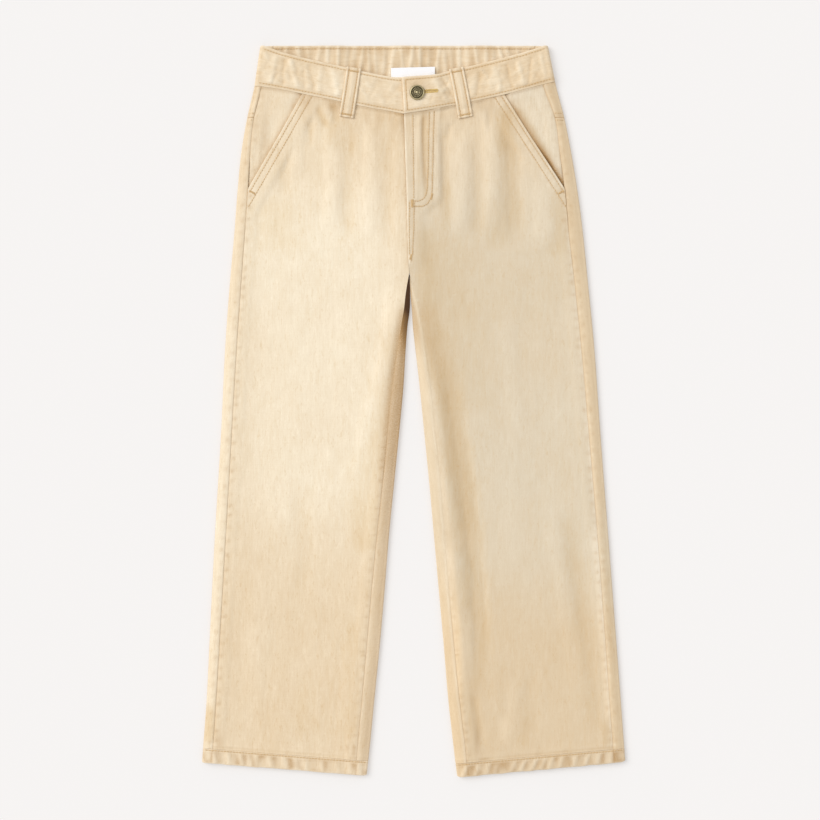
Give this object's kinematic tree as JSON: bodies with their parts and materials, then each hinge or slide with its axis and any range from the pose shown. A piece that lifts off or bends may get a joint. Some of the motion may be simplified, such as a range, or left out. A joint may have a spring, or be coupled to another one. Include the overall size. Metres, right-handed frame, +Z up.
{
  "type": "kids jeans, laid flat",
  "caption": "Child's wide straight-leg jeans in sand-coloured washed denim, buttoned and laid flat with the front up, with slant pockets, belt loops and an elasticated back waist.",
  "frame": {"origin": "on the surface the garment lies on, under the middle of its bounding box", "axes": "+Z up, away from the surface and towards the viewer of the garment's front; +Y from the hems to the waist; +X towards the wearer's left side"},
  "size_m": [0.4322, 0.747, 0.013],
  "materials": {
    "denim_front": "matte sand-coloured cotton twill, washed out",
    "denim_back": "matte sand-coloured cotton twill",
    "denim_band": "matte sand-coloured cotton twill, topstitched",
    "denim_hem": "matte sand-coloured cotton twill, turned and topstitched",
    "zip_tape": "matte woven tape",
    "label": "smooth white woven tape, bare",
    "button_metal": "antique brass, satin"
  },
  "bodies": {
    "root": {"back_right": "denim_back", "back_left": "denim_back", "yoke_right": "denim_back", "yoke_left": "denim_back", "front_right": "denim_front", "front_left": "denim_front", "pocket_facing_right": "denim_front", "pocket_facing_left": "denim_front", "waistband_front_right": "denim_band", "waistband_front_left": "denim_band", "waistband_back": "denim_band", "loop_front_right": "denim_band", "loop_front_left": "denim_band", "loop_back_right": "denim_band", "loop_back_middle": "denim_band", "loop_back_left": "denim_band", "hem_right": "denim_hem", "hem_left": "denim_hem", "fly_zip": "zip_tape", "button": "button_metal", "waist_label": "label"}
  },
  "joints": []
}
